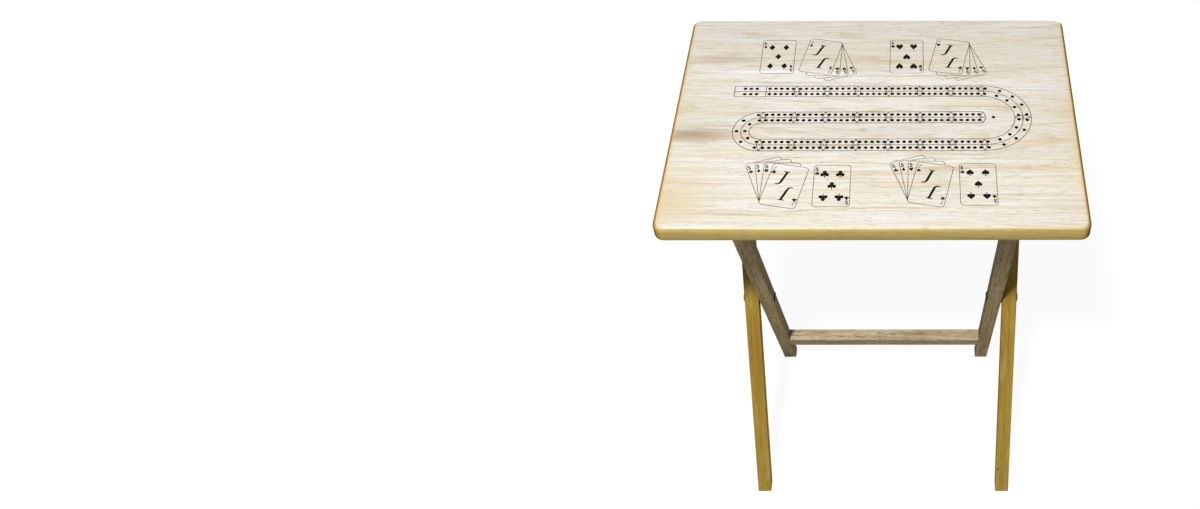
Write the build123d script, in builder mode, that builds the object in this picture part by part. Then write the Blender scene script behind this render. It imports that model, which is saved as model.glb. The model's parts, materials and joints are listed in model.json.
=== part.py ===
import os
from math import atan, cos, degrees, sin

from build123d import *

os.makedirs("parts", exist_ok=True)

# Folding tray table with a peg-game track drilled in its top.
# Millimetres, +Z up, X along the long side, -Y towards the sitter, origin on the floor under the middle.

# Top board
top_length = 483.0
top_depth = 375.0
top_height = 640.0
top_thickness = 20.0
top_corner_radius = 12.0
top_edge_radius = 5.0
lower_edge_radius = 3.0

# Peg track: two lanes in three rows, joined by a wide bend on the right and a narrow one on the left
peg_hole_diameter = 3.2
peg_hole_depth = 10.0
peg_pitch = 7.2
pegs_per_group = 5
groups_per_row = 7
group_pitch = 37.7
lane_spacing = 10.0
row_spacing = 48.0
track_centre_x = -2.5
track_centre_y = -5.2
start_pegs = 3
start_distance = 18.5
finish_distance = 12.5

# Legs: an outer pair whose tops lean back and an inner pair whose tops lean forward
legs_centre_y = -7.5
pivot_height = 305.0
foot_spread = 256.0
leg_width = 20.0
leg_depth = 18.0
wood_edge_radius = 1.5
outer_legs_apart = 345.0
leg_side_gap = 1.5

# Rods at the upper ends of the legs, and the rails that tie each pair of legs
rod_diameter = 12.0
rod_drop = 14.0
rest_rod_seat = 12.0
rail_height = 32.0
lower_rail_rise = 101.0
upper_rail_drop = 91.5
dowel_diameter = 8.0
dowel_length = 32.0
dowel_seat = 13.0
dowel_spacing = 16.0

# Battens that hang the top on the hinge rod, and the catches that drop over the rest rod
batten_width = 20.0
batten_side_gap = 1.5
batten_end_radius = 12.0
batten_front_gap = 32.0
batten_bevel = 9.0
batten_screws_each = 3
catch_wall = 8.0
catch_hook_drop = 8.0
catch_tail = 28.0
catch_screw_distance = 19.0
catch_screw_spacing = 10.0

# Wood screws under the top
screw_diameter = 4.2
screw_head_diameter = 8.0
screw_head_depth = 2.6
screw_bite = 8.0
screw_tip = 3.0

# Pivot bolts where the legs cross, and the screws that hold the hinge rod
bolt_diameter = 6.0
bolt_head_diameter = 13.0
bolt_head_height = 1.4
bolt_head_round = 0.9
bolt_socket_width = 4.0
bolt_socket_depth = 1.6
washer_diameter = 18.0
washer_thickness = 1.2
nut_sleeve_diameter = 8.4
nut_sleeve_short = 1.0
hinge_screw_diameter = 5.0
hinge_screw_bite = 30.0

# Clearances, on the radius or on the face
running_clearance = 0.05
glue_clearance = 0.02
face_clearance = 0.3

# Places worked out from the sizes above
underside = top_height - top_thickness
rod_height = underside - rod_drop
rod_radius = rod_diameter / 2
half_leg = leg_depth / 2
lean = atan(foot_spread / 2 / pivot_height)
rod_reach = (rod_height - pivot_height) / cos(lean)
pivot = (legs_centre_y, pivot_height)
outer_legs_in = outer_legs_apart / 2
outer_legs_out = outer_legs_in + leg_width
inner_legs_out = outer_legs_in - leg_side_gap
inner_legs_in = inner_legs_out - leg_width
batten_out = inner_legs_in - batten_side_gap
batten_middle = batten_out - batten_width / 2
leans_back = 1
leans_forward = -1
sides = (("left", -1), ("right", 1))


def leg_point(leaning, along, across=0.0):
    """A point (y, z) measured up the leg's axis from the pivot, and across it towards the back."""
    y = legs_centre_y + leaning * along * sin(lean) + across * cos(lean)
    z = pivot_height + along * cos(lean) - leaning * across * sin(lean)
    return (y, z)


def foot_point(leaning, across):
    """The point where a line along the leg, set across it towards the back, meets the floor."""
    along = (leaning * across * sin(lean) - pivot_height) / cos(lean)
    return leg_point(leaning, along, across)


def leg_outline(leaning, x):
    """Side view of a leg: cut level at the floor, and rounded over at the rod."""
    with BuildSketch(Plane.YZ.offset(x)) as outline:
        with BuildLine():
            Line(foot_point(leaning, -half_leg), leg_point(leaning, rod_reach, -half_leg))
            ThreePointArc(
                leg_point(leaning, rod_reach, -half_leg),
                leg_point(leaning, rod_reach + half_leg),
                leg_point(leaning, rod_reach, half_leg),
            )
            Line(leg_point(leaning, rod_reach, half_leg), foot_point(leaning, half_leg))
            Line(foot_point(leaning, half_leg), foot_point(leaning, -half_leg))
        make_face()
    return outline.sketch


def leg_axis(leaning):
    """Direction of a leg, for picking its long edges."""
    return Axis((0, 0, 0), (0, leaning * sin(lean), cos(lean)))


def end_face(piece, side):
    """The flat end of a piece that lies furthest out along X on one side."""
    return piece.faces().sort_by(Axis.X)[-1 if side > 0 else 0]


def wood_screw(length):
    """Countersunk screw with its head in the XY plane and its tip up."""
    with BuildPart() as screw:
        with BuildSketch(Plane.XZ):
            with BuildLine():
                Polyline(
                    (0, 0),
                    (screw_head_diameter / 2, 0),
                    (screw_diameter / 2, screw_head_depth),
                    (screw_diameter / 2, length - screw_tip),
                    (0, length),
                    close=True,
                )
            make_face()
        revolve(axis=Axis.Z)
    return screw.part


hinge_rod_place = leg_point(leans_back, rod_reach)
rest_rod_place = leg_point(leans_forward, rod_reach)
lower_rail_along = lower_rail_rise - pivot_height / cos(lean)
upper_rail_along = rod_reach - upper_rail_drop
nut_seat = inner_legs_in - face_clearance
nut_sleeve_length = leg_width + face_clearance - nut_sleeve_short
bolt_length = outer_legs_out - nut_seat
hinge_screw_length = leg_width + hinge_screw_bite
hook_inside = rest_rod_place[0] - rod_radius - face_clearance

# A screw's hole in a batten or a catch takes the cone of its head
screw_bore_radius = screw_diameter / 2 + glue_clearance
screw_sink_radius = screw_head_diameter / 2 + glue_clearance
screw_sink_angle = 2 * degrees(atan((screw_head_diameter - screw_diameter) / 2 / screw_head_depth))

# Screw positions under the top, shared by the battens, the catches, the screws and the pilot holes
batten_bottom = rod_height - batten_end_radius
batten_front = rest_rod_place[0] + batten_front_gap
batten_back = hinge_rod_place[0] + batten_end_radius
batten_screw_start = batten_front + batten_width
batten_screw_pitch = (hinge_rod_place[0] - batten_width - batten_screw_start) / (batten_screws_each - 1)
batten_screw_places = []
catch_screw_places = []
catch_roof = rod_height + rod_radius + face_clearance
for side_name, side in sides:
    for number in range(batten_screws_each):
        y = batten_screw_start + number * batten_screw_pitch
        batten_screw_places.append((side * batten_middle, y))
    for step in (-1, 1):
        x = side * batten_middle + step * catch_screw_spacing / 2
        catch_screw_places.append((x, rest_rod_place[0] + catch_screw_distance))

# Top board, with the peg track drilled from above and pilot holes from below
rows_y = [track_centre_y + step * row_spacing for step in (1, 0, -1)]
track_left = track_centre_x - groups_per_row * group_pitch / 2
track_right = track_centre_x + groups_per_row * group_pitch / 2
group_margin = (group_pitch - (pegs_per_group - 1) * peg_pitch) / 2
wide_margin = degrees(group_margin / row_spacing)
narrow_radius = row_spacing / 2
narrow_margin = degrees(group_margin / narrow_radius)
peg_hole_radius = peg_hole_diameter / 2
with BuildPart() as top_panel:
    with BuildSketch(Plane.XY.offset(underside)):
        RectangleRounded(top_length, top_depth, top_corner_radius)
    extrude(amount=top_thickness)
    fillet(top_panel.faces().sort_by(Axis.Z)[-1].edges(), top_edge_radius)
    fillet(top_panel.faces().sort_by(Axis.Z)[0].edges(), lower_edge_radius)
    for row_y in rows_y:
        with Locations((track_centre_x, row_y, top_height)):
            with GridLocations(group_pitch, lane_spacing, groups_per_row, 2):
                with GridLocations(peg_pitch, peg_pitch, pegs_per_group, 1):
                    Hole(peg_hole_radius, depth=peg_hole_depth)
    for lane in (-lane_spacing / 2, lane_spacing / 2):
        with Locations((track_right, track_centre_y, top_height)):
            for quarter in (-90, 0):
                with PolarLocations(
                    row_spacing + lane,
                    pegs_per_group,
                    start_angle=quarter + wide_margin,
                    angular_range=90 - 2 * wide_margin,
                    endpoint=True,
                ):
                    Hole(peg_hole_radius, depth=peg_hole_depth)
        with Locations((track_left, track_centre_y - narrow_radius, top_height)):
            with PolarLocations(
                narrow_radius + lane,
                pegs_per_group,
                start_angle=90 + narrow_margin,
                angular_range=180 - 2 * narrow_margin,
                endpoint=True,
            ):
                Hole(peg_hole_radius, depth=peg_hole_depth)
    with Locations((track_left - start_distance, rows_y[0], top_height)):
        with GridLocations(peg_pitch, lane_spacing, start_pegs, 2):
            Hole(peg_hole_radius, depth=peg_hole_depth)
    with Locations((track_right + finish_distance, track_centre_y, top_height)):
        Hole(peg_hole_radius, depth=peg_hole_depth)
    with BuildSketch(Plane.XY.offset(underside)):
        with Locations(*batten_screw_places, *catch_screw_places):
            Circle(screw_diameter / 2 + glue_clearance)
    extrude(amount=screw_bite + face_clearance, mode=Mode.SUBTRACT)
top_panel.part.label = "top_panel"
export_step(top_panel.part, "parts/top_panel.step")

for side_name, side in sides:
    # Outer leg, bored for the pivot bolt, the hinge screw and the rail's dowels
    with BuildPart() as outer_leg:
        extrude(leg_outline(leans_back, side * outer_legs_in), amount=side * leg_width)
        fillet(outer_leg.edges().filter_by(leg_axis(leans_back)), wood_edge_radius)
        with BuildSketch(Plane.YZ.offset(side * outer_legs_in)):
            with Locations(pivot):
                Circle(bolt_diameter / 2 + glue_clearance)
            with Locations(hinge_rod_place):
                Circle(hinge_screw_diameter / 2 + glue_clearance)
        extrude(amount=side * leg_width, mode=Mode.SUBTRACT)
        with BuildSketch(Plane.YZ.offset(side * outer_legs_in)):
            for step in (-1, 1):
                with Locations(leg_point(leans_back, upper_rail_along + step * dowel_spacing / 2)):
                    Circle(dowel_diameter / 2 + glue_clearance)
        extrude(amount=side * (dowel_seat + face_clearance), mode=Mode.SUBTRACT)
    outer_leg.part.label = f"outer_leg_{side_name}"
    export_step(outer_leg.part, f"parts/outer_leg_{side_name}.step")

    # Inner leg, bored for the pivot nut, the rest rod and the rail's dowels
    with BuildPart() as inner_leg:
        extrude(leg_outline(leans_forward, side * inner_legs_in), amount=side * leg_width)
        fillet(inner_leg.edges().filter_by(leg_axis(leans_forward)), wood_edge_radius)
        with BuildSketch(Plane.YZ.offset(side * inner_legs_in)):
            with Locations(pivot):
                Circle(nut_sleeve_diameter / 2 + running_clearance)
        extrude(amount=side * leg_width, mode=Mode.SUBTRACT)
        with BuildSketch(Plane.YZ.offset(side * inner_legs_in)):
            with Locations(rest_rod_place):
                Circle(rod_radius + glue_clearance)
        extrude(amount=side * (rest_rod_seat + face_clearance), mode=Mode.SUBTRACT)
        with BuildSketch(Plane.YZ.offset(side * inner_legs_in)):
            for step in (-1, 1):
                with Locations(leg_point(leans_forward, lower_rail_along + step * dowel_spacing / 2)):
                    Circle(dowel_diameter / 2 + glue_clearance)
        extrude(amount=side * (dowel_seat + face_clearance), mode=Mode.SUBTRACT)
    inner_leg.part.label = f"inner_leg_{side_name}"
    export_step(inner_leg.part, f"parts/inner_leg_{side_name}.step")

    # Pivot bolt: a low round head with a hexagon socket outside, and a plain shank through both legs
    with BuildPart() as pivot_bolt:
        with BuildSketch(Plane.YZ.offset(side * outer_legs_out)):
            with Locations(pivot):
                Circle(bolt_head_diameter / 2)
        extrude(amount=side * bolt_head_height)
        fillet(end_face(pivot_bolt, side).edges(), bolt_head_round)
        with BuildSketch(end_face(pivot_bolt, side)):
            RegularPolygon(bolt_socket_width / 2, 6, major_radius=False)
        extrude(amount=-bolt_socket_depth, mode=Mode.SUBTRACT)
        with BuildSketch(Plane.YZ.offset(side * outer_legs_out)):
            with Locations(pivot):
                Circle(bolt_diameter / 2)
        extrude(amount=-side * bolt_length)
    pivot_bolt.part.label = f"pivot_bolt_{side_name}"
    export_step(pivot_bolt.part, f"parts/pivot_bolt_{side_name}.step")

    # Spacer washer between the two legs, seated on the outer one
    with BuildPart() as pivot_washer:
        with BuildSketch(Plane.YZ.offset(side * outer_legs_in)):
            with Locations(pivot):
                Circle(washer_diameter / 2)
                Circle(bolt_diameter / 2 + glue_clearance, mode=Mode.SUBTRACT)
        extrude(amount=-side * washer_thickness)
    pivot_washer.part.label = f"pivot_washer_{side_name}"
    export_step(pivot_washer.part, f"parts/pivot_washer_{side_name}.step")

    # Barrel nut: a round head inside, and a sleeve on which the inner leg turns
    with BuildPart() as pivot_nut:
        with BuildSketch(Plane.YZ.offset(side * nut_seat)):
            with Locations(pivot):
                Circle(bolt_head_diameter / 2)
        extrude(amount=-side * bolt_head_height)
        fillet(end_face(pivot_nut, -side).edges(), bolt_head_round)
        with BuildSketch(Plane.YZ.offset(side * nut_seat)):
            with Locations(pivot):
                Circle(nut_sleeve_diameter / 2)
        extrude(amount=side * nut_sleeve_length)
        with BuildSketch(Plane.YZ.offset(side * nut_seat)):
            with Locations(pivot):
                Circle(bolt_diameter / 2 + glue_clearance)
        extrude(amount=side * nut_sleeve_length, mode=Mode.SUBTRACT)
    pivot_nut.part.label = f"pivot_nut_{side_name}"
    export_step(pivot_nut.part, f"parts/pivot_nut_{side_name}.step")

    # Batten under the top: rounded round the hinge rod at the back, bevelled at the front
    with BuildPart() as batten:
        with BuildSketch(Plane.YZ.offset(side * batten_out)):
            with BuildLine():
                Polyline(
                    (hinge_rod_place[0], batten_bottom),
                    (batten_front + batten_bevel, batten_bottom),
                    (batten_front, batten_bottom + batten_bevel),
                    (batten_front, underside),
                    (batten_back, underside),
                    (batten_back, rod_height),
                )
                RadiusArc((batten_back, rod_height), (hinge_rod_place[0], batten_bottom), batten_end_radius)
            make_face()
            with Locations(hinge_rod_place):
                Circle(rod_radius + running_clearance, mode=Mode.SUBTRACT)
        extrude(amount=-side * batten_width)
        for x, y in batten_screw_places:
            if x * side > 0:
                with Locations(Plane((x, y, batten_bottom), z_dir=(0, 0, -1))):
                    CounterSinkHole(screw_bore_radius, screw_sink_radius, counter_sink_angle=screw_sink_angle)
    batten.part.label = f"batten_{side_name}"
    export_step(batten.part, f"parts/batten_{side_name}.step")

    # Catch at the front: a hook that drops over the rest rod and is open towards the back
    with BuildPart() as catch:
        with BuildSketch(Plane.YZ.offset(side * batten_out)):
            with BuildLine():
                Polyline(
                    (hook_inside, catch_roof),
                    (hook_inside, rod_height - catch_hook_drop),
                    (hook_inside - catch_wall, rod_height - catch_hook_drop),
                    (hook_inside - catch_wall, underside),
                    (rest_rod_place[0] + catch_tail, underside),
                    (rest_rod_place[0] + catch_tail, catch_roof),
                    close=True,
                )
            make_face()
        extrude(amount=-side * batten_width)
        for x, y in catch_screw_places:
            if x * side > 0:
                with Locations(Plane((x, y, catch_roof), z_dir=(0, 0, -1))):
                    CounterSinkHole(screw_bore_radius, screw_sink_radius, counter_sink_angle=screw_sink_angle)
    catch.part.label = f"catch_{side_name}"
    export_step(catch.part, f"parts/catch_{side_name}.step")

# Rails: one low on the inner legs, one high on the outer legs, each held by two dowels an end
rails = (
    ("lower_rail", leans_forward, lower_rail_along, inner_legs_in),
    ("upper_rail", leans_back, upper_rail_along, outer_legs_in),
)
for rail_name, leaning, along, reach in rails:
    with BuildPart() as rail:
        with BuildSketch(Plane.YZ.offset(-reach)):
            with Locations(leg_point(leaning, along)):
                Rectangle(leg_depth, rail_height, rotation=-leaning * degrees(lean))
        extrude(amount=2 * reach)
        fillet(rail.edges().filter_by(Axis.X), wood_edge_radius)
        for step in (-1, 1):
            hole_place = leg_point(leaning, along + step * dowel_spacing / 2)
            for side_name, side in sides:
                with BuildSketch(Plane.YZ.offset(side * reach)):
                    with Locations(hole_place):
                        Circle(dowel_diameter / 2 + glue_clearance)
                extrude(amount=-side * (dowel_length - dowel_seat + face_clearance), mode=Mode.SUBTRACT)
    rail.part.label = rail_name
    export_step(rail.part, f"parts/{rail_name}.step")

    with BuildPart() as rail_dowels:
        for side_name, side in sides:
            with BuildSketch(Plane.YZ.offset(side * (reach + dowel_seat))):
                for step in (-1, 1):
                    with Locations(leg_point(leaning, along + step * dowel_spacing / 2)):
                        Circle(dowel_diameter / 2)
            extrude(amount=-side * dowel_length)
    rail_dowels.part.label = f"{rail_name}_dowels"
    export_step(rail_dowels.part, f"parts/{rail_name}_dowels.step")

# Rest rod, glued into the inner legs, on which the catches sit
with BuildPart() as rest_rod:
    with BuildSketch(Plane.YZ.offset(-inner_legs_in - rest_rod_seat)):
        with Locations(rest_rod_place):
            Circle(rod_radius)
    extrude(amount=2 * (inner_legs_in + rest_rod_seat))
rest_rod.part.label = "rest_rod"
export_step(rest_rod.part, "parts/rest_rod.step")

# Hinge rod between the outer legs, with a pilot hole for a screw in each end
with BuildPart() as hinge_rod:
    with BuildSketch(Plane.YZ.offset(-outer_legs_in)):
        with Locations(hinge_rod_place):
            Circle(rod_radius)
    extrude(amount=2 * outer_legs_in)
    for side_name, side in sides:
        with BuildSketch(Plane.YZ.offset(side * outer_legs_in)):
            with Locations(hinge_rod_place):
                Circle(hinge_screw_diameter / 2 + glue_clearance)
        extrude(amount=-side * (hinge_screw_bite + face_clearance), mode=Mode.SUBTRACT)
hinge_rod.part.label = "hinge_rod"
export_step(hinge_rod.part, "parts/hinge_rod.step")

# Round-headed screws through the outer legs into the ends of the hinge rod
with BuildPart() as hinge_screws:
    for side_name, side in sides:
        with BuildSketch(Plane.YZ.offset(side * outer_legs_out)):
            with Locations(hinge_rod_place):
                Circle(bolt_head_diameter / 2)
        extrude(amount=side * bolt_head_height)
        fillet(end_face(hinge_screws, side).edges(), bolt_head_round)
        with BuildSketch(Plane.YZ.offset(side * outer_legs_out)):
            with Locations(hinge_rod_place):
                Circle(hinge_screw_diameter / 2)
        extrude(amount=-side * hinge_screw_length)
hinge_screws.part.label = "hinge_screws"
export_step(hinge_screws.part, "parts/hinge_screws.step")

# Screws under the top, heads flush with the battens and with the roofs of the catches
with BuildPart() as batten_screws:
    with Locations(*[(x, y, batten_bottom) for x, y in batten_screw_places]):
        add(wood_screw(underside - batten_bottom + screw_bite))
batten_screws.part.label = "batten_screws"
export_step(batten_screws.part, "parts/batten_screws.step")

with BuildPart() as catch_screws:
    with Locations(*[(x, y, catch_roof) for x, y in catch_screw_places]):
        add(wood_screw(underside - catch_roof + screw_bite))
catch_screws.part.label = "catch_screws"
export_step(catch_screws.part, "parts/catch_screws.step")
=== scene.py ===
import json
import math

import bpy
import numpy as np
from mathutils import Matrix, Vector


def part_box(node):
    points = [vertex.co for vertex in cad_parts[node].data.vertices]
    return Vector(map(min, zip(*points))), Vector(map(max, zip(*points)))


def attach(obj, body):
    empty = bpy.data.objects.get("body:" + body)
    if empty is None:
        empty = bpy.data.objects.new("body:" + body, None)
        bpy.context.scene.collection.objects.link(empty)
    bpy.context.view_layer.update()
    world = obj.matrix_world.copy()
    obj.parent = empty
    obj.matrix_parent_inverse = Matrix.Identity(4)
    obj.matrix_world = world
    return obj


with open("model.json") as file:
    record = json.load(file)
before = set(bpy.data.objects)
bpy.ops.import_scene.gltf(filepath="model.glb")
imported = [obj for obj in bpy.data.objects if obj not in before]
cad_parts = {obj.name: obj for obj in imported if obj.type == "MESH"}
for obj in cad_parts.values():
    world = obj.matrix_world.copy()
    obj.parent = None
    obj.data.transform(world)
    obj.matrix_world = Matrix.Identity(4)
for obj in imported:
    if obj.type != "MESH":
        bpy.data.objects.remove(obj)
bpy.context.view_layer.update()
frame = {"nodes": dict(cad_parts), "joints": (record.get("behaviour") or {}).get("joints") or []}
nodes = frame["nodes"]
mm = 0.001
topLow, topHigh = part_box("top_panel")
halfLength, halfDepth, topHeight = topHigh.x, topHigh.y, topHigh.z
pivotSpot = next(joint for joint in frame["joints"] if joint["name"] == "legs_fold")["pos_m"]
hingeSpot = next(joint for joint in frame["joints"] if joint["name"] == "top_tip")["pos_m"]
lean = math.atan2(hingeSpot[1] - pivotSpot[1], hingeSpot[2] - pivotSpot[2])   # legs, off the vertical
print("frame:", len(nodes), "pieces, legs lean", round(math.degrees(lean), 2), "degrees")


def linear(hexText):        # sRGB hex to linear colour
    part = np.array([int(hexText[i:i + 2], 16) for i in (1, 3, 5)]) / 255
    return (*np.where(part <= 0.04045, part / 12.92, ((part + 0.055) / 1.055) ** 2.4), 1.0)


def add(tree, kind, inputs=(), out=0, ramp=(), **settings):        # one node, its settings and what feeds it
    node = tree.nodes.new("ShaderNode" + kind)
    for name, value in settings.items():
        setattr(node, name, value)
    for key, value in dict(inputs).items():
        if isinstance(value, bpy.types.NodeSocket):
            tree.links.new(value, node.inputs[key])
        else:
            node.inputs[key].default_value = value
    for number, (spot, level) in enumerate(ramp):
        stop = node.color_ramp.elements[number] if number < 2 else node.color_ramp.elements.new(spot)
        stop.position, stop.color = spot, (level, level, level, 1)
    return node.outputs[out] if node.outputs else node


def newMaterial(name):
    material = bpy.data.materials.new(name)
    material.use_nodes = True
    material.node_tree.nodes.clear()
    return material, material.node_tree


# Rubberwood under clear satin lacquer: pale, straight-grained, with soft streaks, growth lines and short
# dark pores; a low broad sheen on the top, and none on the sticks, which are rubbed matt
lacquer = {
    "ior": 1.5, "roughness": 0.42, "topShine": 0.45, "stickShine": 0.0,
    "relief": 0.05 * mm, "reliefShare": 0.5, "reliefBelow": 4,        # from the first layer under 4 mm wide
}


def grain(tree, place, wood):
    # each layer is noise drawn out along X; its colour comes in between two levels of that noise
    by, over, across = wood["wander"]
    spot = add(tree, "Mapping", {"Vector": place, "Scale": (1 / over, 1 / across, 1 / across)})
    drift = add(tree, "TexNoise", {"Vector": spot, "Scale": 1, "Detail": 2}, out="Color")
    drift = add(tree, "VectorMath", {0: drift, 1: (0.5, 0.5, 0.5)}, operation="SUBTRACT")
    drift = add(tree, "VectorMath", {0: drift, 1: (0, 2 * by, 2 * by)}, operation="MULTIPLY")
    place = add(tree, "VectorMath", {0: place, 1: drift}, operation="ADD")
    colour, relief = linear(wood["base"]), None
    for long, wide, octaves, low, high, share, tint in wood["layers"]:
        spot = add(tree, "Mapping", {"Vector": place, "Location": (long, wide, 0),
                                     "Scale": (1 / (long * mm), 1 / (wide * mm), 1 / (wide * mm))})
        level = add(tree, "TexNoise", {"Vector": spot, "Scale": 1, "Detail": octaves, "Roughness": 0.6})
        factor = add(tree, "MapRange", {0: level, 1: low, 2: high, 3: 0, 4: share})
        colour = add(tree, "Mix", {0: factor, 6: colour, 7: linear(tint)}, out=2, data_type="RGBA")
        relief = level if wide < lacquer["reliefBelow"] and relief is None else relief
    return colour, relief


def satin(tree, colour, relief, shine):        # clear coat over the wood's colour
    bump = add(tree, "Bump", {"Height": relief, "Distance": lacquer["relief"],
                              "Strength": lacquer["reliefShare"]})
    skin = add(tree, "BsdfPrincipled", {
        "Base Color": colour, "Roughness": lacquer["roughness"], "IOR": lacquer["ior"],
        "Specular IOR Level": shine, "Normal": bump,
    })
    add(tree, "OutputMaterial", {"Surface": skin})


# where a face begins to take the painted side shade and takes it fully, and a knot's dark core
stick = {"sideFrom": 0.5, "sideFull": 0.9, "knotCore": 0.4, "knotShare": 0.9}


def stickWood(name, wood):        # legs, rails, battens and rods, each cut along its grain
    material, tree = newMaterial(name)
    spot = add(tree, "TexCoord", out="Object")
    place = add(tree, "Mapping", {"Vector": spot, "Rotation": wood["turn"]})
    colour, relief = grain(tree, place, wood)
    across = add(tree, "TexCoord", out="Normal")        # how far a face turns to X
    across = add(tree, "Math", {0: add(tree, "SeparateXYZ", {0: across})}, operation="ABSOLUTE")
    # painted shade: faces turned to the sides, along X, are darkened by the wood's side tint
    side = add(tree, "MapRange", {0: across, 1: stick["sideFrom"], 2: stick["sideFull"]})
    colour = add(tree, "Mix", {0: side, 6: colour, 7: linear(wood["side"])}, out=2, data_type="RGBA",
                 blend_type="MULTIPLY")
    for middle, size, tint in wood["knots"]:
        near = add(tree, "VectorMath", {0: spot, 1: middle}, out="Value", operation="DISTANCE")
        factor = add(tree, "MapRange", {0: near, 1: size * stick["knotCore"], 2: size,
                                        3: stick["knotShare"], 4: 0})
        colour = add(tree, "Mix", {0: factor, 6: colour, 7: linear(tint)}, out=2, data_type="RGBA")
    satin(tree, colour, relief, lacquer["stickShine"])
    return material


# layers: length and width in mm, octaves, noise level where the colour starts and is full, share, colour
# (real pores are 0.2 mm wide, drawn coarser so that they show)
legWood = {        # golden amber
    "turn": (lean, math.pi / 2, 0), "base": "#B59A45", "wander": (3 * mm, 160 * mm, 30 * mm),
    "layers": (
        (240, 40, 2, 0.42, 0.64, 0.70, "#AA7F33"),
        (260, 6, 4, 0.42, 0.68, 0.45, "#957027"),
        (130, 1.7, 3, 0.50, 0.70, 0.40, "#7C5A20"),
        (90, 14, 3, 0.50, 0.66, 0.55, "#C6AC5E"),
        (11, 0.8, 1, 0.62, 0.74, 0.45, "#5C3F12"),
    ),
    "side": "#EAE2CC",        # painted shade: faces turned to the sides are darkened
    "knots": (((175.5 * mm, -129 * mm, 38 * mm), 2.2 * mm, "#3B2509"),),        # middle, radius, colour
}
frameWood = {        # greyer beige
    "turn": (-lean, math.pi / 2, 0), "base": "#C8B48A", "wander": (3 * mm, 140 * mm, 25 * mm),
    "layers": (
        (120, 24, 2, 0.45, 0.72, 0.55, "#A39270"),
        (180, 5, 4, 0.42, 0.66, 0.60, "#988158"),
        (90, 1.6, 3, 0.50, 0.68, 0.60, "#79653F"),
        (160, 11, 3, 0.54, 0.72, 0.50, "#CBBB94"),
        (13, 0.9, 1, 0.57, 0.67, 0.70, "#57452D"),
    ),
    # painted shade on the faces turned to the sides, greyed as in shade
    "side": "#BEBFC4", "knots": (),
}
railWood = dict(frameWood, turn=(0, 0, 0), base="#D2BF9E")
crossWood = dict(legWood, turn=(0, 0, 0))        # the high rail, same stock as the outer legs
battenWood = dict(frameWood, turn=(0, 0, math.pi / 2), base="#C6B48A")
dowelWood = dict(frameWood, turn=(0, 0, 0), base="#CBB78C")

topWood = {
    "base": "#F5F4F1", "wander": (9 * mm, 190 * mm, 60 * mm),
    "layers": (
        (300, 60, 2, 0.40, 0.64, 0.40, "#EADFC2"),        # broad beige patches
        (300, 8, 4, 0.45, 0.62, 0.32, "#E5D6AE"),         # soft streaks
        (260, 1.7, 3, 0.48, 0.62, 0.52, "#D6C094"),       # fine lines
        (280, 3.5, 3, 0.60, 0.68, 0.55, "#B4945C"),       # a few brown streaks
        (240, 14, 3, 0.52, 0.64, 0.45, "#FDFBF6"),        # pale flares
        (15, 0.9, 1, 0.60, 0.70, 0.50, "#8E6D40"),        # pores
    ),
    # boards glued edge to edge, seams along X, each with its own stretch of grain and its own tone
    "staveWidth": 52 * mm, "firstSeam": -177 * mm, "staveShift": (3.0, 0.2, 0.2), "staveShare": 0.12,
    # growth rings cut flat: spacing, wobble, steepest slope along the board, depth of the log's middle
    "ringWidth": 4 * mm, "ringWobble": 6 * mm, "ringSlope": 0.06, "ringDepth": (20 * mm, 70 * mm),
    "ringRough": (200 * mm, 14 * mm, 14 * mm), "ringFrom": 0.35, "ringFull": 0.65,        # where they show
    "ringShare": 0.55, "ringTint": "#C4AC7A", "lateWood": 0.5,        # the outer half of each ring darkens
    # darker bands from front to back: part of the depth, share of the tint
    "tones": (
        (0, 0.14), (0.17, 0.07), (0.33, 0.03), (0.43, 0.1),
        (0.55, 0.0), (0.68, 0.03), (0.8, 0.21), (1, 0.21),
    ),
    "toneTint": "#D0C4AE",
    "figures": (        # single marks: middle, half length and half width in mm, share, colour
        (-220, 0, 90, 75, 0.25, "#CDBE9A"),           # darker towards both ends
        (225, 25, 75, 80, 0.18, "#C9BA98"),
        (0, -29, 130, 15, 0.3, "#CCC5BB"),            # greyer between two rows, whiter above them
        (0, 21, 150, 14, 0.4, "#FCFAF6"),
        (-215, -33, 90, 20, 0.75, "#A88C6A"),         # brown heartwood at the left
        (-150, 80, 95, 6, 1.0, "#FFFEFC"),            # pale flares
        (-60, 74, 60, 4, 0.9, "#FFFEFC"),
        (35, 76, 55, 5, 0.9, "#FFFEFC"),
        (-195, 104, 75, 13, 0.5, "#C0A998"),          # rosy streak
        (-14, -27, 9, 4, 0.6, "#AE8A5A"),             # knot
        (210, -45, 60, 8, 0.5, "#D9B876"),            # amber stain
        (-225, -125, 85, 65, 0.4, "#DECDA4"),         # yellower corners
        (225, -115, 75, 60, 0.15, "#E6D3A2"),
        (250, -40, 38, 190, 0.4, "#E0C484"),          # amber along the right end and the left corner
        (-240, -150, 60, 60, 0.4, "#DEC38A"),
    ),
    "ragged": 1.6, "figureFrom": 0.9, "figureEnd": 1.7,        # uneven outlines, and where the marks fade out
    # lacquer yellows towards the ends
    "amber": "#E3C27C", "amberReach": 9 * mm, "amberFull": 2 * mm, "amberShare": 0.6,
    # long edges, by how far a face turns that way: their own yellower tone with painted shade mixed in,
    # reaching up onto the lit lip; painted shade darkens them towards the foot
    "edge": "#D2BF74", "sideFrom": 0.2, "sideFull": 0.85,
    "edgeFootShade": "#B0904A", "footDrop": 7 * mm, "footShare": 0.8,
    # end grain drinks the finish, less at the round corners; the darkest band at the very ends is end grain
    # with painted shade of the end faces added
    "endGrain": "#B48C28", "endFrom": 0.1, "endFull": 0.45,
    "cornerFrom": 0.2, "cornerFull": 0.75, "cornerShare": 0.15,
    "endDarkAndShade": "#4C3412", "darkFrom": 0.45, "darkFull": 0.85, "darkShare": 0.92,
    # peg holes: everything inside the board's skin and no deeper than the pegs go, painted near black inside
    # as the shade deep in a narrow hole
    "char": "#070504", "holeDepth": 10.5 * mm, "holeInset": 20 * mm, "skin": 0.05 * mm,
}


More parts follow.
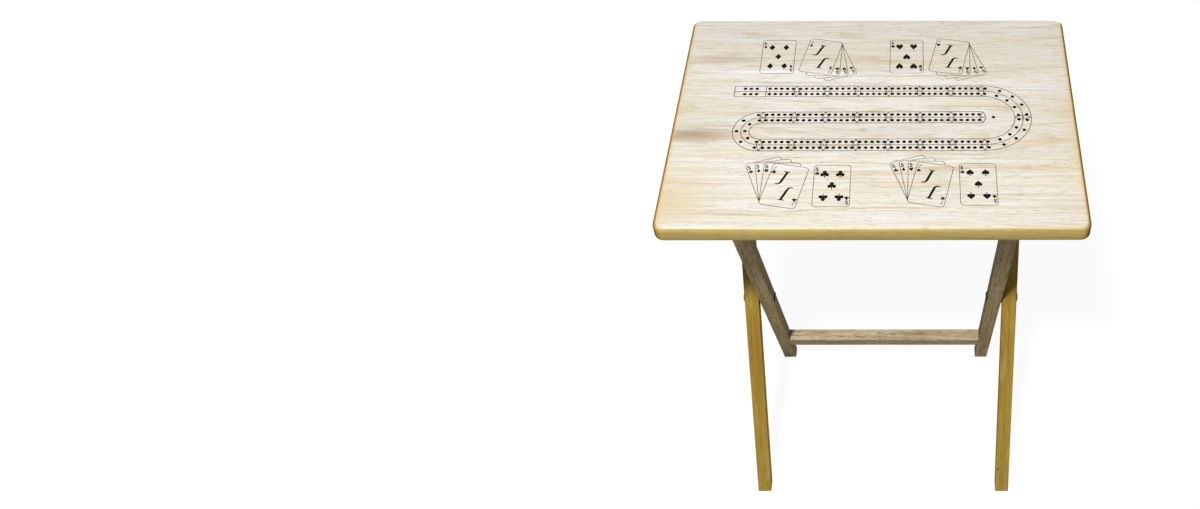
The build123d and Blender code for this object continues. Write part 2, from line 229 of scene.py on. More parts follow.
def topMaterial():        # glued staves, darker end grain with painted shade at the ends, peg holes painted dark as their shade
    material, tree = newMaterial("rubberwood panel, satin lacquer")
    wood = topWood
    spot = add(tree, "TexCoord", out="Object")
    x, y, z = add(tree, "SeparateXYZ", {0: spot}).node.outputs
    count = add(tree, "Math", {0: y, 1: wood["firstSeam"]}, operation="SUBTRACT")
    count = add(tree, "Math", {0: count, 1: wood["staveWidth"]}, operation="DIVIDE")
    stave = add(tree, "Math", {0: count}, operation="FLOOR")
    own = add(tree, "TexWhiteNoise", {"W": stave}, out="Color", noise_dimensions="1D")
    shift = add(tree, "VectorMath", {0: own, 1: wood["staveShift"]}, operation="MULTIPLY")
    place = add(tree, "VectorMath", {0: spot, 1: shift}, operation="ADD")
    colour, relief = grain(tree, place, wood)
    # rings of the log cut flat: r = hypot(y - y0, depth + slope * x + z)
    # y0, depth and slope are each stave's own
    chance = add(tree, "SeparateXYZ", {0: own}).node.outputs
    aside = add(tree, "Math", {0: count, 1: stave}, operation="SUBTRACT")
    aside = add(tree, "Math", {0: aside, 1: chance[1]}, operation="SUBTRACT")
    aside = add(tree, "Math", {0: aside, 1: wood["staveWidth"]}, operation="MULTIPLY")
    slope = add(tree, "MapRange", {0: chance[2], 3: -wood["ringSlope"], 4: wood["ringSlope"]})
    shallow, deep = wood["ringDepth"]
    depth = add(tree, "MapRange", {0: chance[0], 3: shallow - topHeight, 4: deep - topHeight})
    depth = add(tree, "Math", {0: slope, 1: x, 2: depth}, operation="MULTIPLY_ADD")
    depth = add(tree, "Math", {0: depth, 1: z}, operation="ADD")
    ring = add(tree, "CombineXYZ", {0: aside, 1: depth})
    ring = add(tree, "VectorMath", {0: ring}, out="Value", operation="LENGTH")
    rough = add(tree, "Mapping", {"Vector": place, "Scale": tuple(1 / size for size in wood["ringRough"])})
    rough = add(tree, "TexNoise", {"Vector": rough, "Scale": 1, "Detail": 3})
    ring = add(tree, "Math", {0: rough, 1: wood["ringWobble"], 2: ring}, operation="MULTIPLY_ADD")
    ring = add(tree, "Math", {0: ring, 1: wood["ringWidth"]}, operation="DIVIDE")
    ring = add(tree, "Math", {0: ring}, operation="FRACT")
    rings = add(tree, "MapRange", {0: ring, 1: wood["lateWood"], 2: 1, 3: 0, 4: wood["ringShare"]})
    clear = add(tree, "MapRange", {0: rough, 1: wood["ringFrom"], 2: wood["ringFull"]})
    rings = add(tree, "Math", {0: rings, 1: clear}, operation="MULTIPLY")
    share = add(tree, "MapRange", {0: y, 1: -halfDepth, 2: halfDepth})
    tone = add(tree, "ValToRGB", {0: share}, ramp=wood["tones"])
    tone = add(tree, "Math", {0: chance[0], 1: wood["staveShare"], 2: tone}, operation="MULTIPLY_ADD")
    across = add(tree, "Math", {0: x}, operation="ABSOLUTE")
    along = add(tree, "Math", {0: y}, operation="ABSOLUTE")
    yellow = add(tree, "MapRange", {0: across, 1: halfLength - wood["amberReach"],
                                    2: halfLength - wood["amberFull"], 3: 0, 4: wood["amberShare"]})
    facing = add(tree, "TexCoord", out="Normal")        # along the board's own axes
    facing = add(tree, "SeparateXYZ", {0: facing}).node.outputs
    endways = add(tree, "Math", {0: facing[0]}, operation="ABSOLUTE")
    sideways = add(tree, "Math", {0: facing[1]}, operation="ABSOLUTE")
    side = add(tree, "MapRange", {0: sideways, 1: wood["sideFrom"], 2: wood["sideFull"]})
    foot = add(tree, "MapRange", {0: z, 1: topLow.z, 2: topHeight - wood["footDrop"],
                                  3: wood["footShare"], 4: 0})
    foot = add(tree, "Math", {0: foot, 1: side}, operation="MULTIPLY")
    corner = add(tree, "MapRange", {0: sideways, 1: wood["cornerFrom"], 2: wood["cornerFull"],
                                    3: 1, 4: wood["cornerShare"]})
    bare = add(tree, "MapRange", {0: endways, 1: wood["endFrom"], 2: wood["endFull"]})
    end = add(tree, "Math", {0: bare, 1: corner}, operation="MULTIPLY")
    dark = add(tree, "MapRange", {0: endways, 1: wood["darkFrom"], 2: wood["darkFull"],
                                  3: 0, 4: wood["darkShare"]})
    inset = wood["holeInset"]
    bounds = ((across, halfLength - inset, "LESS_THAN"), (along, halfDepth - inset, "LESS_THAN"),
              (z, topHeight - wood["skin"], "LESS_THAN"), (z, topHeight - wood["holeDepth"], "GREATER_THAN"))
    hole = 1.0
    for value, limit, test in bounds:
        passed = add(tree, "Math", {0: value, 1: limit}, operation=test)
        hole = add(tree, "Math", {0: hole, 1: passed}, operation="MULTIPLY")
    coats = [(rings, wood["ringTint"], "MIX"), (tone, wood["toneTint"], "MIX")]
    for middleX, middleY, long, wide, strength, tint in wood["figures"]:
        near = add(tree, "Mapping", {"Vector": spot, "Location": (-middleX / long, -middleY / wide, 0),
                                     "Scale": (1 / (long * mm), 1 / (wide * mm), 0)})
        near = add(tree, "VectorMath", {0: near}, out="Value", operation="LENGTH")
        near = add(tree, "Math", {0: rough, 1: wood["ragged"], 2: near}, operation="MULTIPLY_ADD")
        near = add(tree, "MapRange", {0: near, 1: wood["figureFrom"], 2: wood["figureEnd"],
                                      3: strength, 4: 0})
        coats.append((near, tint, "MIX"))
    # painted shade: the long edges darker towards the foot, the darkest band at the ends, and the peg holes
    # near black
    coats += [
        (yellow, wood["amber"], "MIX"),
        (side, wood["edge"], "MULTIPLY"), (foot, wood["edgeFootShade"], "MULTIPLY"),
        (end, wood["endGrain"], "MIX"), (dark, wood["endDarkAndShade"], "MIX"), (hole, wood["char"], "MIX"),
    ]
    for factor, tint, blend in coats:
        colour = add(tree, "Mix", {0: factor, 6: colour, 7: linear(tint)}, out=2, data_type="RGBA",
                     blend_type=blend)
    dull = add(tree, "Math", {0: hole, 1: bare}, operation="MAXIMUM")        # peg holes and end grain: no sheen
    satin(tree, colour, relief, add(tree, "MapRange", {0: dull, 3: lacquer["topShine"], 4: 0}))
    return material


# size of the lighter patches, noise level where they start and are full, and the finish
charring = {
    "long": 14 * mm, "wide": 2 * mm, "lightFrom": 0.35, "lightFull": 0.75, "roughness": 0.8, "shine": 0.1,
}


def charredWood(name, dark, light):        # laser-burnt wood: matt, browner where the burn was light
    material, tree = newMaterial(name)
    spot = add(tree, "TexCoord", out="Object")
    place = add(tree, "Mapping", {"Vector": spot, "Scale": (1 / charring["long"], 1 / charring["wide"], 1)})
    burn = add(tree, "TexNoise", {"Vector": place, "Scale": 1, "Detail": 2})
    share = add(tree, "MapRange", {0: burn, 1: charring["lightFrom"], 2: charring["lightFull"]})
    colour = add(tree, "Mix", {0: share, 6: linear(dark), 7: linear(light)}, out=2, data_type="RGBA")
    skin = add(tree, "BsdfPrincipled", {"Base Color": colour, "Roughness": charring["roughness"],
                                        "Specular IOR Level": charring["shine"]})
    add(tree, "OutputMaterial", {"Surface": skin})
    return material


# noise levels between which the roughness changes, by how much, and the relief
speckle = {"from": 0.3, "full": 0.7, "glossier": 0.08, "duller": 0.1, "relief": 0.03 * mm, "reliefShare": 0.4}


def hardware(name, metal):        # screws, bolts and moulded pieces: fine speckle in colour and gloss
    material, tree = newMaterial(name)
    spot = add(tree, "TexCoord", out="Object")
    speck = add(tree, "TexNoise", {"Vector": spot, "Scale": 1 / metal["grit"], "Detail": 3})
    colour = add(tree, "Mix", {0: speck, 6: linear(metal["dark"]), 7: linear(metal["light"])}, out=2,
                 data_type="RGBA")
    least, most = metal["roughness"] - speckle["glossier"], metal["roughness"] + speckle["duller"]
    gloss = add(tree, "MapRange", {0: speck, 1: speckle["from"], 2: speckle["full"], 3: least, 4: most})
    bump = add(tree, "Bump", {"Height": speck, "Distance": speckle["relief"],
                              "Strength": speckle["reliefShare"]})
    skin = add(tree, "BsdfPrincipled", {
        "Base Color": colour, "Roughness": gloss, "Metallic": metal["metallic"],
        "Specular IOR Level": metal["shine"], "Normal": bump,
    })
    add(tree, "OutputMaterial", {"Surface": skin})
    return material


blackOxide = {        # steel blackened in a bath: near black, hardly any shine
    "dark": "#100F0E", "light": "#1E1C1A", "metallic": 0.2, "roughness": 0.5, "shine": 0.08, "grit": 0.6 * mm,
}
zincPlate = {        # plated steel: pale grey metal with a soft gloss
    "dark": "#A9A79E", "light": "#CFCBBE", "metallic": 1.0, "roughness": 0.34, "shine": 0.5, "grit": 0.8 * mm,
}
blackNylon = {        # moulded: black and matt
    "dark": "#0F0E0D", "light": "#1C1A18", "metallic": 0.0, "roughness": 0.6, "shine": 0.05, "grit": 0.5 * mm,
}

finishes = {
    "top": topMaterial(),
    "outer leg": stickWood("rubberwood leg, amber lacquer", legWood),
    "inner leg": stickWood("rubberwood leg, grey-beige", frameWood),
    "rail": stickWood("rubberwood rail, grey-beige", railWood),
    "cross": stickWood("rubberwood rail, amber lacquer", crossWood),
    "batten": stickWood("rubberwood batten", battenWood),
    "dowel": stickWood("turned rubberwood dowel", dowelWood),
    "oxide": hardware("black oxide steel", blackOxide),
    "zinc": hardware("zinc plated steel", zincPlate),
    "nylon": hardware("black nylon", blackNylon),
    "char": charredWood("deep burnt wood", "#0B0907", "#1A130E"),
    "scorch": charredWood("lightly burnt wood", "#3E3126", "#58483A"),
    "burn": charredWood("burnt wood", "#3A2E24", "#524436"),
}
finishOf = {
    "top_panel": "top", "upper_rail": "cross", "lower_rail": "rail", "hinge_rod": "dowel",
    "rest_rod": "dowel", "lower_rail_dowels": "dowel", "upper_rail_dowels": "dowel",
    "hinge_screws": "oxide", "batten_screws": "zinc", "catch_screws": "zinc",
}
for sideName in ("left", "right"):
    for piece, finish in (("outer_leg", "outer leg"), ("inner_leg", "inner leg"), ("batten", "batten"),
                          ("catch", "nylon"), ("pivot_bolt", "oxide"), ("pivot_nut", "oxide"),
                          ("pivot_washer", "nylon")):
        finishOf[f"{piece}_{sideName}"] = finish
for name, finish in finishOf.items():
    nodes[name].material_slots[0].material = finishes[finish]
print("finishes:", len(finishes), "materials on", len(finishOf), "pieces")

# burnt marks: how far they stand out of the top and reach into it, and points on a full curve
burnt = {"proud": 0.04 * mm, "sunk": 0.3 * mm, "lineWidth": 0.85 * mm, "steps": 48}


def stroke(path, width, closed=False):
    # flat stroke: a rectangle carried along the path, its edges path +- width/2 along the normal
    path = np.asarray(path, float)
    run = np.roll(path, -1, 0) - np.roll(path, 1, 0) if closed else np.gradient(path, axis=0)
    normal = np.column_stack((-run[:, 1], run[:, 0])) / np.linalg.norm(run, axis=1)[:, None]
    half = np.broadcast_to(np.asarray(width, float) / 2, len(path))[:, None] * normal
    edges = np.stack((path + half, path - half, path - half, path + half), axis=1)
    heights = topHeight + np.array([burnt["proud"], burnt["proud"], -burnt["sunk"], -burnt["sunk"]])
    ring = np.concatenate((edges, np.broadcast_to(heights[None, :, None], (len(path), 4, 1))), axis=2)
    index = np.arange(len(path) * 4).reshape(-1, 4)
    here, there = (index, np.roll(index, -1, 0)) if closed else (index[:-1], index[1:])
    faces = np.stack((here, np.roll(here, -1, 1), np.roll(there, -1, 1), there), axis=2).reshape(-1, 4)
    caps = np.empty((0, 4), int) if closed else np.stack((index[0, ::-1], index[-1]))
    return ring.reshape(-1, 3), [np.concatenate((faces, caps))]


def plate(outline):
    # filled flat shape: rays from the middle to a closed outline that runs anticlockwise
    count = len(outline)
    high, low = topHeight + burnt["proud"], topHeight - burnt["sunk"]
    middle = outline.mean(0)
    points = np.concatenate((
        np.column_stack((outline, np.full(count, high))),
        np.column_stack((outline, np.full(count, low))),
        [[*middle, high], [*middle, low]],
    ))
    here = np.arange(count)
    there = np.roll(here, -1)
    fan = np.column_stack((np.full(count, 2 * count), here, there))
    base = np.column_stack((np.full(count, 2 * count + 1), there + count, here + count))
    wall = np.column_stack((here, here + count, there + count, there))
    return points, [np.concatenate((fan, base)), wall]


def makePiece(name, shapes, finish, body="top"):        # one mesh from many closed shapes
    starts = np.cumsum([0] + [len(points) for points, groups in shapes[:-1]])
    points = np.concatenate([points for points, groups in shapes])
    faces = []
    for start, (_, groups) in zip(starts, shapes):
        for group in groups:
            faces += (group + start).tolist()
    mesh = bpy.data.meshes.new(name)
    mesh.from_pydata(points.tolist(), [], faces)
    mesh.materials.append(finishes[finish])
    piece = bpy.data.objects.new(name, mesh)
    bpy.context.scene.collection.objects.link(piece)
    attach(piece, body)
    print("piece:", name, len(shapes), "shapes,", len(faces), "faces")


def arc(middle, radius, start, end, count):        # points on a circle, degrees
    turn = np.radians(np.linspace(start, end, count))
    return np.column_stack((middle[0] + radius * np.cos(turn), middle[1] + radius * np.sin(turn)))


def placed(points, spot, degrees=0.0, size=1.0):        # flat points scaled, turned and moved
    turn = math.radians(degrees)
    spin = np.array([[math.cos(turn), math.sin(turn)], [-math.sin(turn), math.cos(turn)]])
    return np.asarray(points, float) * size @ spin + np.asarray(spot, float)


def movedShape(shape, spot, degrees=0.0):        # a finished shape turned about its own origin and moved
    points, groups = shape
    return np.column_stack((placed(points[:, :2], spot, degrees), points[:, 2])), groups


# Peg track, as drilled: three rows of two lanes and two bends
track = {
    "groups": 7, "groupPitch": 37.7 * mm, "rowSpacing": 48 * mm, "middle": (-2.5 * mm, -5.2 * mm),
    "halfWidth": 9.9 * mm, "startLength": 38.5 * mm, "startSpot": 18.5 * mm, "finishSpot": 12.5 * mm,
    "pegs": 5, "pegPitch": 7.2 * mm, "lane": 5 * mm, "startPegs": 3,
    "holeRadius": 1.6 * mm, "charLine": 0.65 * mm, "rimSteps": 24,
    "markerTall": 19.4 * mm, "markerWide": 7 * mm, "markerLine": 0.9 * mm, "markerBulge": 0.75,
    "markerSteps": 17, "numberTall": 2.3 * mm,
}
trackX, trackY = track["middle"]
trackLeft = trackX - track["groups"] * track["groupPitch"] / 2
trackRight = trackX + track["groups"] * track["groupPitch"] / 2
rowSpacing, halfBand = track["rowSpacing"], track["halfWidth"]
rowsY = [trackY + rowSpacing, trackY, trackY - rowSpacing]
narrowMiddle = (trackLeft, trackY - rowSpacing / 2)


def trackLine(off):        # the track's path set off to its left: row, wide bend, row, narrow bend, row
    return np.concatenate((
        [(trackLeft - track["startLength"], rowsY[0] + off)],
        arc((trackRight, trackY), rowSpacing + off, 90, -90, burnt["steps"]),
        arc(narrowMiddle, rowSpacing / 2 + off, -90, -270, burnt["steps"]),
        [(trackRight, trackY + off)],
    ))


def crossLine(x, y):        # a line straight across one row
    return stroke([(x, y - halfBand), (x, y + halfBand)], burnt["lineWidth"])


def marker():        # pointed lens: half width = wide/2 * (1 - |t|) ** bulge
    t = np.linspace(-1, 1, track["markerSteps"])
    wide = track["markerWide"] / 2 * (1 - np.abs(t)) ** track["markerBulge"]
    tall = track["markerTall"] / 2 * t
    return [stroke(np.column_stack((side * wide, tall)), track["markerLine"]) for side in (-1, 1)]


def pegSpots():        # every hole's middle, laid out as it was drilled
    pegs, pitch, lane = track["pegs"], track["pegPitch"], track["lane"]
    steps = (np.arange(pegs) - (pegs - 1) / 2) * pitch
    groups = trackX + (np.arange(track["groups"]) - (track["groups"] - 1) / 2) * track["groupPitch"]
    alongX = (groups[:, None] + steps).ravel()
    startSteps = (np.arange(track["startPegs"]) - (track["startPegs"] - 1) / 2) * pitch
    startX = trackLeft - track["startSpot"] + startSteps
    margin = (track["groupPitch"] - (pegs - 1) * pitch) / 2
    wide, narrow = math.degrees(margin / rowSpacing), math.degrees(2 * margin / rowSpacing)
    spots = [np.array([(trackRight + track["finishSpot"], trackY)])]
    for off in (-lane, lane):
        spots += [np.column_stack((alongX, np.full(len(alongX), y + off))) for y in rowsY]
        spots.append(np.column_stack((startX, np.full(len(startX), rowsY[0] + off))))
        spots += [arc((trackRight, trackY), rowSpacing + off, quarter + wide, quarter + 90 - wide, pegs)
                  for quarter in (-90, 0)]
        spots.append(arc(narrowMiddle, rowSpacing / 2 + off, 90 + narrow, 270 - narrow, pegs))
    return np.concatenate(spots)


digits = {"fontSize": 1.35, "bolder": 0.04, "curveSteps": 3}        # for a digit 1 tall


def numberShape(text, tall):        # digits of the plain built-in font, made a mesh about their middle
    curve = bpy.data.curves.new("digits", "FONT")
    curve.body, curve.size = text, tall * digits["fontSize"]
    curve.align_x, curve.align_y = "CENTER", "CENTER"
    curve.extrude, curve.offset = (burnt["proud"] + burnt["sunk"]) / 2, tall * digits["bolder"]
    curve.resolution_u = digits["curveSteps"]
    holder = bpy.data.objects.new("digits", curve)
    bpy.context.scene.collection.objects.link(holder)
    mesh = bpy.data.meshes.new_from_object(holder.evaluated_get(bpy.context.evaluated_depsgraph_get()))
    mesh.calc_loop_triangles()
    points = np.empty(len(mesh.vertices) * 3)
    mesh.vertices.foreach_get("co", points)
    faces = np.empty(len(mesh.loop_triangles) * 3, np.int32)
    mesh.loop_triangles.foreach_get("vertices", faces)
    bpy.data.objects.remove(holder)
    bpy.data.curves.remove(curve)
    bpy.data.meshes.remove(mesh)
    points = points.reshape(-1, 3) + (0, 0, topHeight + (burnt["proud"] - burnt["sunk"]) / 2)
    return points, [faces.reshape(-1, 3)]


lines = [stroke(trackLine(off), burnt["lineWidth"]) for off in (-halfBand, 0, halfBand)]
lines += [crossLine(trackLeft - track["startLength"], rowsY[0]), crossLine(trackLeft, rowsY[0])]
makePiece("track_lines", lines, "scorch")

groupX = [trackLeft + number * track["groupPitch"] for number in range(track["groups"] + 1)]
markerSpots = [(x, rowsY[0], 0) for x in groupX[1:]]
markerSpots += [(trackRight + rowSpacing, trackY, 90)]        # half way round the wide bend
markerSpots += [(x, rowsY[2], 0) for x in groupX[::-1]]
markerSpots += [(x, rowsY[1], 0) for x in groupX]
markers, numbers = [], []
for count, (x, y, degrees) in enumerate(markerSpots, 1):
    markers += [movedShape(shape, (x, y), degrees) for shape in marker()]
    numbers.append(movedShape(numberShape(str(track["pegs"] * count), track["numberTall"]), (x, y)))
makePiece("track_markers", markers, "burn")
makePiece("track_numbers", numbers, "burn")
rim = track["holeRadius"] + track["charLine"] / 2
lastTurn = 360 - 360 / track["rimSteps"]
rims = [arc(spot, rim, 0, lastTurn, track["rimSteps"]) for spot in pegSpots()]
makePiece("peg_hole_rims", [stroke(line, track["charLine"], closed=True) for line in rims], "char")

# Playing cards: a hand of three fives and a jack, and a single five beside it, four times
card = {
    "width": 41.8 * mm, "height": 66.3 * mm, "corner": 4 * mm, "line": 0.7 * mm,
    "cornerSteps": 9, "outlineSteps": 240, "leastRun": 3,        # points; shorter bits are left out
    "apart": 27 * mm, "pivot": (-20.9 * mm, -29.4 * mm), "jackTurn": -11.3, "fanStep": 10.3,
    "pipTall": 11.6 * mm, "pipWide": 0.88,
    "pipSpots": ((-8.9, 18.6), (8.9, 18.6), (0, 0), (-8.9, -18.6), (8.9, -18.6)),        # mm
    "index": (-17.8 * mm, 26.2 * mm), "indexTall": 5.8 * mm,
    "indexPip": (-17.4 * mm, 19.4 * mm), "indexPipTall": 6.2 * mm,
}
# each hand's middle in mm, its turn, the suit of its single five and its jack, its other fives from the back
hands = (
    ((-73.4, -120.7), 0, "club", ("spade", "diamond", "heart")),
    ((92.4, -118.4), 0, "spade", ("club", "diamond", "heart")),
    ((-97.7, 110.3), 180, "diamond", ("spade", "heart", "club")),
    ((64.9, 110.4), 180, "heart", ("spade", "diamond", "club")),
)

suitShape = {        # in parts of the pip's height
    "diamondWide": 0.38, "diamondTall": 0.5,
    "lobe": 0.225, "lobes": ((0, 0.27), (-0.27, -0.08), (0.27, -0.08)),        # radius and middles
    "heartWide": 37, "heartTall": 29, "heartLift": 2.5, "heartSteps": 200,        # in the formula's own units
    "spadeTall": 0.76, "spadeLift": 0.12,
    "footTurn": 0.26, "footReach": 0.48, "least": 0.18,        # half angle of the foot, in radians
}


def suitOutline(suit):
    # radius at each angle, 1 = the pip's height; round lobes by r = c.u + sqrt(R^2 - |c|^2 + (c.u)^2)
    shape = suitShape
    turn = np.linspace(0, 2 * math.pi, burnt["steps"], endpoint=False)
    ray = np.column_stack((np.cos(turn), np.sin(turn)))
    if suit == "diamond":
        radius = 1 / (np.abs(ray[:, 0]) / shape["diamondWide"] + np.abs(ray[:, 1]) / shape["diamondTall"])
    elif suit == "club":
        radius = np.zeros(len(turn))
        for middle in shape["lobes"]:
            reach = ray @ np.array(middle)
            inside = shape["lobe"] ** 2 - np.dot(middle, middle) + reach ** 2
            radius = np.maximum(radius, np.where(inside > 0, reach + np.sqrt(np.abs(inside)), 0))
    else:        # heart: x = 16 sin^3 t, y = 13 cos t - 5 cos 2t - 2 cos 3t - cos 4t
        t = np.linspace(0, 2 * math.pi, shape["heartSteps"])
        y = 13 * np.cos(t) - 5 * np.cos(2 * t) - 2 * np.cos(3 * t) - np.cos(4 * t)
        y = (y + shape["heartLift"]) / shape["heartTall"]
        x = 16 * np.sin(t) ** 3 / shape["heartWide"]
        if suit == "spade":
            y = shape["spadeLift"] - y * shape["spadeTall"]
        angle = np.arctan2(y, x) % (2 * math.pi)
        order = np.argsort(angle)
        radius = np.interp(turn, angle[order], np.hypot(x, y)[order], period=2 * math.pi)
    if suit in ("club", "spade"):        # flared foot
        foot = np.abs((turn - 1.5 * math.pi + math.pi) % (2 * math.pi) - math.pi) < shape["footTurn"]
        flare = shape["footReach"] / np.maximum(-ray[:, 1], 0.1)        # no division by zero off the foot
        radius = np.where(foot, np.maximum(radius, flare), radius)
    return ray * np.maximum(radius, shape["least"])[:, None] * (card["pipWide"], 1)


def cardOutline():        # rectangle with round corners, anticlockwise, evenly close points
    w, h, r = card["width"] / 2, card["height"] / 2, card["corner"]
    corners = ((w - r, h - r, 0), (r - w, h - r, 90), (r - w, r - h, 180), (w - r, r - h, 270))
    steps = card["cornerSteps"]
    points = np.concatenate([arc((x, y), r, start, start + 90, steps) for x, y, start in corners])
    ends = np.concatenate((points, points[:1]))
    lengths = np.concatenate(([0], np.cumsum(np.linalg.norm(np.diff(ends, axis=0), axis=1))))
    even = np.linspace(0, lengths[-1], card["outlineSteps"], endpoint=False)
    return np.column_stack((np.interp(even, lengths, ends[:, 0]), np.interp(even, lengths, ends[:, 1])))


def insideCard(points, spot, degrees):        # which points lie within a card, less half a line
    flat = placed(np.asarray(points) - spot, (0, 0), -degrees)
    r, edge = card["corner"], card["line"] / 2
    over = np.maximum(np.abs(flat) - (card["width"] / 2 - r, card["height"] / 2 - r), 0)
    return np.hypot(over[:, 0], over[:, 1]) < r - edge


jackLetter = {        # slanted J on a card 66.3 mm tall, in mm from the card's middle
    "stem": ((-1.9, 21.6), (-5.2, 6.0)), "hook": ((-5.2, 6.0), (-6.3, 0.2), (-11.2, 2.0)),
    "serif": ((-6.0, 22.3), (1.3, 21.9)), "middle": (-4.9, 11.4), "tall": 22,
    "thick": 2.9, "thin": 1.4, "serifLine": 1.3, "taper": 0.8, "steps": 12,
}


def letterJ(spot, degrees, size):        # stem and hook as one tapering stroke, and a serif
    letter = jackLetter
    thick, thin = letter["thick"], letter["thin"]
    t = np.linspace(0, 1, letter["steps"])[:, None]
    stem = np.array(letter["stem"][0]) * (1 - t) + np.array(letter["stem"][1]) * t
    a, b, c = np.array(letter["hook"])
    hook = a * (1 - t) ** 2 + 2 * b * t * (1 - t) + c * t ** 2        # quadratic curve
    path = np.concatenate((stem, hook[1:])) - letter["middle"]
    taper = thick + (thin - thick) * t[1:, 0] ** letter["taper"]
    taper = np.concatenate((np.full(letter["steps"], thick), taper))
    serif = np.linspace(*np.array(letter["serif"]) - letter["middle"], 3)
    return [stroke(placed(path * mm, spot, degrees, size), taper * mm * size),
            stroke(placed(serif * mm, spot, degrees, size), letter["serifLine"] * mm * size)]


def cornerMarks(spot, degrees, suit, sign, turns=(0, 180)):        # index and small pip in each corner named
    marks = []
    for turn in turns:
        angle = degrees + turn
        indexSpot = placed([card["index"]], spot, angle)[0]
        if sign == "J":
            marks += letterJ(indexSpot, angle, card["indexTall"] / (jackLetter["tall"] * mm))
        else:
            marks.append(movedShape(numberShape(sign, card["indexTall"]), indexSpot, angle))
        pipSpot = placed([card["indexPip"]], spot, angle)[0]
        marks.append(plate(placed(suitOutline(suit), pipSpot, angle, card["indexPipTall"])))
    return marks


outlines, pips, letters = [], [], []
for (handX, handY), turn, suit, fives in hands:
    handSpot = np.array((handX, handY)) * mm
    single = placed([(card["apart"], 0)], handSpot, turn)[0]
    jack = placed([(-card["apart"], 0)], handSpot, turn)[0]
    jackAngle = turn + card["jackTurn"]
    pivot = placed([card["pivot"]], jack, jackAngle)[0]
    outlines.append(stroke(placed(cardOutline(), single, turn), card["line"], closed=True))
    for number, pipSpot in enumerate(card["pipSpots"]):        # the two lower pips stand on their heads
        angle = turn + (180 if number > 2 else 0)
        spot = placed([np.array(pipSpot) * mm], single, turn)[0]
        pips.append(plate(placed(suitOutline(suit), spot, angle, card["pipTall"])))
    letters += cornerMarks(single, turn, suit, "5")
    letters += cornerMarks(jack, jackAngle, suit, "J")
    for flip in (0, 180):
        spot = placed([np.array(jackLetter["middle"]) * mm], jack, jackAngle + flip)[0]
        letters += letterJ(spot, jackAngle + flip, 1.0)
    front = [(jack, jackAngle)]
    outlines.append(stroke(placed(cardOutline(), jack, jackAngle), card["line"], closed=True))
    for number, fiveSuit in enumerate(fives[::-1], 1):        # each shows what the cards before it leave
        angle = jackAngle + number * card["fanStep"]
        spot = pivot - placed([card["pivot"]], (0, 0), angle)[0]
        outline = placed(cardOutline(), spot, angle)
        seen = ~np.any([insideCard(outline, *other) for other in front], axis=0)
        first = np.flatnonzero(seen & ~np.roll(seen, 1))
        for begin in first:
            run = np.roll(outline, -begin, axis=0)
            length = np.argmin(np.roll(seen, -begin))
            if length > card["leastRun"]:
                outlines.append(stroke(run[:length], card["line"]))
        letters += cornerMarks(spot, angle, fiveSuit, "5", turns=(0,))
        front.append((spot, angle))
makePiece("card_outlines", outlines, "scorch")
makePiece("card_pips", pips, "char")
makePiece("card_letters", letters, "char")

# Studio: white floor and sky to the eye, a soft key from the front and three weak fills
studio = {
    # name, place, size, power; the fills stand below the top, so that it shows no glare
    "lamps": (
        ("key", (-0.35, -1.53, 2.93), 0.25, 86), ("back fill", (0.9, 2.6, 0.55), 1.0, 24),
        ("left fill", (-2.6, 0.3, 0.55), 1.0, 18), ("right fill", (2.6, 0.3, 0.55), 1.0, 13),
    ),
    "aim": (0, 0, 0.45), "floorSize": 14,
    "skyLight": 0.07, "skyColour": "#F1F4FA", "floorBounce": 0.5,        # what lights the table
    "floorPaper": 0.13, "floorGlow": 0.92,        # what the eye sees of the floor
}


def seenDirectly(tree):        # 1 for the eye, mirrors and glass, 0 for light that falls on the table
    rays = add(tree, "LightPath").node.outputs
    seen = add(tree, "Math", {0: rays["Is Camera Ray"], 1: rays["Is Glossy Ray"]}, operation="MAXIMUM")
    return add(tree, "Math", {0: seen, 1: rays["Is Transmission Ray"]}, operation="MAXIMUM")


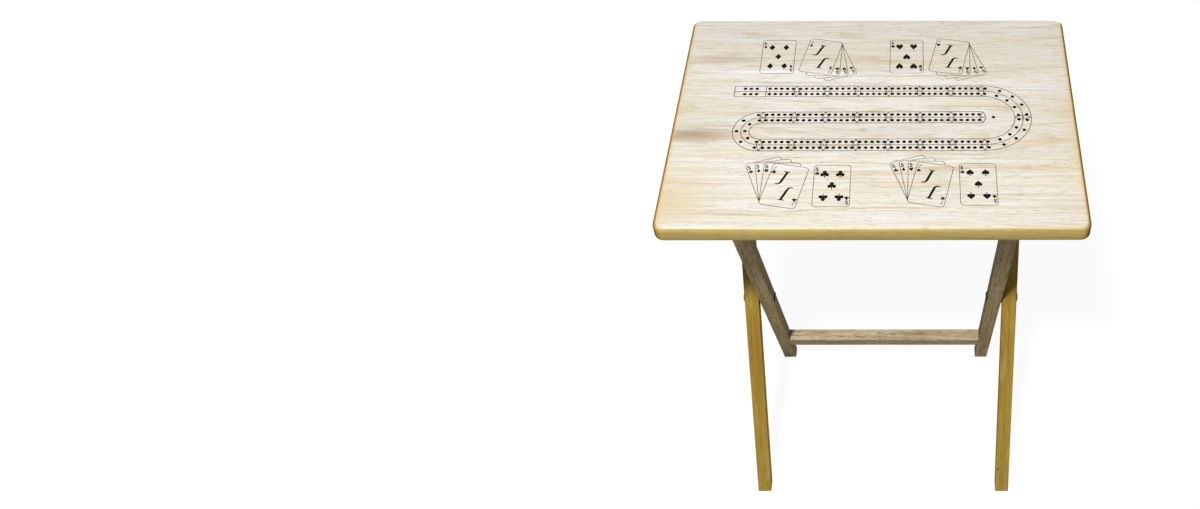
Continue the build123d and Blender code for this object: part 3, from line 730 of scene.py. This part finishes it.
def buildStudio():
    world = bpy.data.worlds.new("studio")
    bpy.context.scene.world = world
    world.use_nodes = True
    tree = world.node_tree
    tree.nodes.clear()
    dim = add(tree, "Background", {"Color": linear(studio["skyColour"]), "Strength": studio["skyLight"]})
    white = add(tree, "Background", {"Color": (1, 1, 1, 1), "Strength": 1})
    add(tree, "OutputWorld", {"Surface": add(tree, "MixShader", {0: seenDirectly(tree), 1: dim, 2: white})})
    material, tree = newMaterial("white paper floor")
    bounce = add(tree, "BsdfDiffuse", {"Color": (*[studio["floorBounce"]] * 3, 1)})
    paper = add(tree, "BsdfDiffuse", {"Color": (*[studio["floorPaper"]] * 3, 1)})
    glow = add(tree, "Emission", {"Color": (1, 1, 1, 1), "Strength": studio["floorGlow"]})
    bright = add(tree, "AddShader", {0: paper, 1: glow})
    look = add(tree, "MixShader", {0: seenDirectly(tree), 1: bounce, 2: bright})
    add(tree, "OutputMaterial", {"Surface": look})
    half = studio["floorSize"] / 2
    corners = [(-half, -half, 0), (half, -half, 0), (half, half, 0), (-half, half, 0)]
    mesh = bpy.data.meshes.new("floor")
    mesh.from_pydata(corners, [], [(0, 1, 2, 3)])
    mesh.materials.append(material)
    floor = bpy.data.objects.new("floor", mesh)
    bpy.context.scene.collection.objects.link(floor)
    for name, spot, size, power in studio["lamps"]:
        lamp = bpy.data.lights.new(name, "AREA")
        lamp.shape, lamp.size, lamp.energy = "DISK", size, power
        holder = bpy.data.objects.new(name, lamp)
        bpy.context.scene.collection.objects.link(holder)
        back = np.array(spot) - studio["aim"]
        back /= np.linalg.norm(back)
        side = np.cross((0, 0, 1), back)
        side /= np.linalg.norm(side)
        turn = Matrix(np.transpose((side, np.cross(back, side), back)).tolist()).to_4x4()
        holder.matrix_world = Matrix.Translation(spot) @ turn


camera = {        # found by fitting the table's corners and feet to the picture
    "spot": (42.46 * mm, -1018.2 * mm, 1535.9 * mm), "yaw": 0.00917, "pitch": -0.84593, "roll": 0.00792,
    "focal": 1120.6, "middleX": 903.63, "pictureWidth": 1200, "sensor": 36,        # focal length in pixels
}


def buildCamera():
    yaw, pitch, roll = camera["yaw"], camera["pitch"], camera["roll"]
    ahead = np.array((-math.sin(yaw) * math.cos(pitch), math.cos(yaw) * math.cos(pitch), math.sin(pitch)))
    right = np.array((math.cos(yaw), math.sin(yaw), 0))
    down = np.cross(ahead, right)
    across = math.cos(roll) * right + math.sin(roll) * down
    below = math.cos(roll) * down - math.sin(roll) * right
    lens = bpy.data.cameras.new("camera")
    lens.sensor_fit, lens.sensor_width = "HORIZONTAL", camera["sensor"]
    lens.lens = camera["focal"] / camera["pictureWidth"] * camera["sensor"]
    lens.shift_x = (camera["pictureWidth"] / 2 - camera["middleX"]) / camera["pictureWidth"]
    eye = bpy.data.objects.new("camera", lens)
    bpy.context.scene.collection.objects.link(eye)
    turn = Matrix(np.transpose((across, -below, -ahead)).tolist()).to_4x4()
    eye.matrix_world = Matrix.Translation(camera["spot"]) @ turn
    bpy.context.scene.camera = eye


buildStudio()
buildCamera()
bpy.context.scene.view_settings.view_transform = "Standard"
print("studio: camera, key light and three fills placed")
